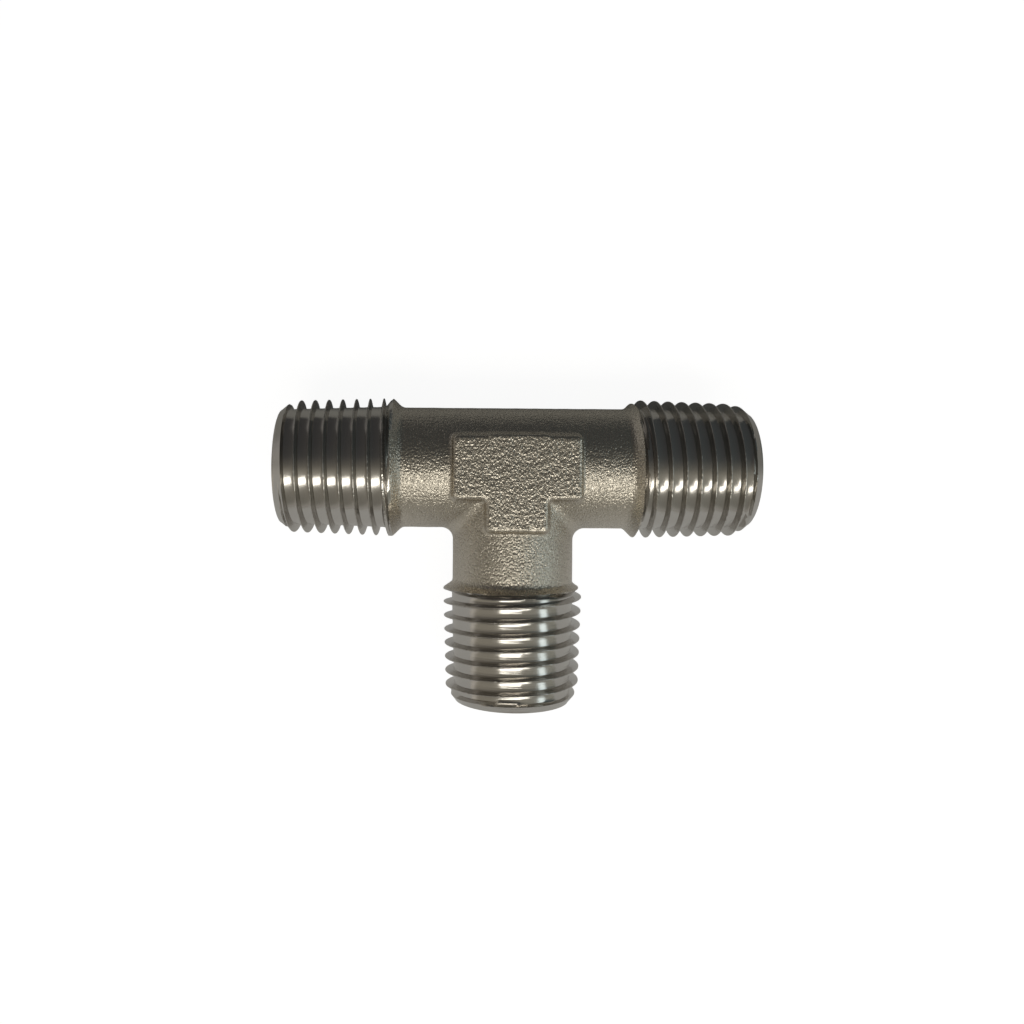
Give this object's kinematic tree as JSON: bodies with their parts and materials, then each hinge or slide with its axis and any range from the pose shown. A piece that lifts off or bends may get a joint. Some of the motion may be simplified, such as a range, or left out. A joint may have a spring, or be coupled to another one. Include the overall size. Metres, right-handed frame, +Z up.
{
  "type": "tee fitting",
  "caption": "Male tee pipe fitting in nickel-plated brass: a straight threaded run with a matching threaded branch, bored through, with a raised T on each flat side.",
  "frame": {"origin": "under the middle of the bounding box, in the plane that the tee lies on; the run and branch axes cross at x 0, y +7.886 mm, z +6.729 mm", "axes": "+X along the run to the right port, -Y along the branch to its port, +Z up through the raised T with the tee lying flat"},
  "size_m": [0.045, 0.0292, 0.0135],
  "materials": {
    "plated_brass": "nickel plate over hot-forged brass: fine grained satin skin on the forged body, bright smooth turned threads and ends"
  },
  "bodies": {
    "root": {"tee_body": "plated_brass"}
  },
  "joints": []
}
